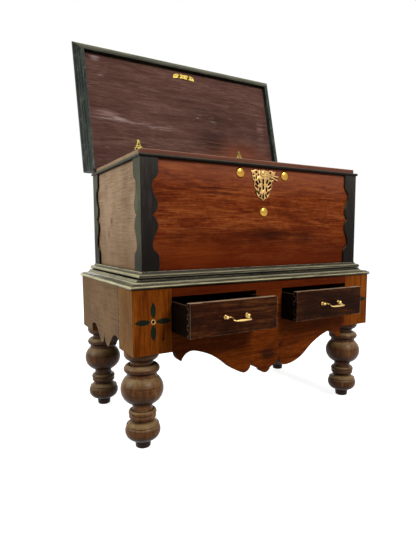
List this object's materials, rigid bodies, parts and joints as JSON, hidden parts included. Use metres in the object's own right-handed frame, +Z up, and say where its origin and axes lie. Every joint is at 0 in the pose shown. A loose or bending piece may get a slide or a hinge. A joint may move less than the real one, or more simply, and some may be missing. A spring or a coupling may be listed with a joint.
{
  "type": "dowry chest on stand",
  "caption": "Dovetailed wooden storage chest with a hinged moulded lid and pierced brass lock plate, resting on a scalloped stand with drawers and turned legs.",
  "frame": {"origin": "on the floor under the middle of the stand", "axes": "+X to the right seen from the front, +Y to the rear, +Z up"},
  "size_m": [1.1284, 0.9081, 1.5854],
  "materials": {
    "leg_wood": "worn waxed hardwood",
    "stand_wood": "waxed hardwood",
    "runner_wood": "plain sawn wood",
    "chest_wood": "waxed reddish hardwood",
    "ebonised_wood": "ebonised wood, worn satin",
    "black_wood": "blackened wood, satin",
    "lid_wood": "bare aged wood",
    "drawer_wood": "dark waxed hardwood",
    "drawer_inner_wood": "bare aged wood",
    "brass": "aged brass",
    "iron": "dark wrought iron"
  },
  "bodies": {
    "base": {"brass_studs": "brass", "centre_stile": "stand_wood", "chest_bottom": "chest_wood", "chest_front_board": "chest_wood", "chest_left_board": "chest_wood", "chest_rear_board": "chest_wood", "chest_right_board": "chest_wood", "corner_mount_front_left": "black_wood", "corner_mount_front_right": "black_wood", "corner_mount_rear_left": "black_wood", "corner_mount_rear_right": "black_wood", "corner_post_front_left": "stand_wood", "corner_post_front_right": "stand_wood", "corner_post_rear_left": "stand_wood", "corner_post_rear_right": "stand_wood", "cover_pivot": "brass", "drawer_runners": "runner_wood", "escutcheon": "brass", "front_apron": "stand_wood", "hinge_leaves": "brass", "hinge_pins": "iron", "inlay_eyelets": "brass", "inlay_petals": "black_wood", "joint_pegs": "stand_wood", "leaf_screws": "iron", "left_apron": "stand_wood", "leg_front_left": "leg_wood", "leg_front_right": "leg_wood", "leg_rear_left": "leg_wood", "leg_rear_right": "leg_wood", "lock_case": "iron", "plinth_moulding": "ebonised_wood", "rear_apron": "stand_wood", "right_apron": "stand_wood", "rim_moulding": "ebonised_wood", "stand_moulding": "ebonised_wood", "stand_top_rail": "stand_wood"},
    "lid": {"lid_panel": "lid_wood", "lid_moulding_front": "ebonised_wood", "lid_moulding_left": "ebonised_wood", "lid_moulding_right": "ebonised_wood", "hinge_strap_left": "brass", "hinge_strap_right": "brass", "link_plate": "brass", "lid_screws": "iron"},
    "drawer_left": {"drawer_left_back": "drawer_inner_wood", "drawer_left_bottom": "drawer_inner_wood", "drawer_left_front": "drawer_wood", "drawer_left_sides": "drawer_inner_wood", "handle_left_posts": "brass"},
    "drawer_right": {"drawer_right_back": "drawer_inner_wood", "drawer_right_bottom": "drawer_inner_wood", "drawer_right_front": "drawer_wood", "drawer_right_sides": "drawer_inner_wood", "handle_right_posts": "brass"},
    "bail_left": {"handle_left_bail": "brass"},
    "bail_right": {"handle_right_bail": "brass"},
    "keyhole_cover": {"keyhole_cover": "brass"},
    "lock_bolt": {"lock_bolt": "iron"}
  },
  "joints": [
    {"name": "lid_hinge", "type": "hinge", "parent": "base", "child": "lid", "pos_m": [0, 0.272, 1.01975], "axis": [-1, 0, 0], "range_deg": [-103, 0]},
    {"name": "drawer_left_slide", "type": "slide", "parent": "base", "child": "drawer_left", "axis": [0, -1, 0], "range_m": [-0.127, 0.2]},
    {"name": "drawer_right_slide", "type": "slide", "parent": "base", "child": "drawer_right", "axis": [0, -1, 0], "range_m": [-0.085, 0.242]},
    {"name": "bail_left_swing", "type": "hinge", "parent": "drawer_left", "child": "bail_left", "pos_m": [-0.23625, -0.4472, 0.4695], "axis": [1, 0, 0], "range_deg": [-90, 76]},
    {"name": "bail_right_swing", "type": "hinge", "parent": "drawer_right", "child": "bail_right", "pos_m": [0.23625, -0.4052, 0.4695], "axis": [1, 0, 0], "range_deg": [-90, 76]},
    {"name": "keyhole_cover_swing", "type": "hinge", "parent": "base", "child": "keyhole_cover", "pos_m": [-0.0036, -0.2693, 0.9685], "axis": [0, 1, 0], "range_deg": [0, 76]},
    {"name": "lock_bolt_slide", "type": "slide", "parent": "base", "child": "lock_bolt", "axis": [1, 0, 0], "range_m": [0, 0.01]}
  ]
}
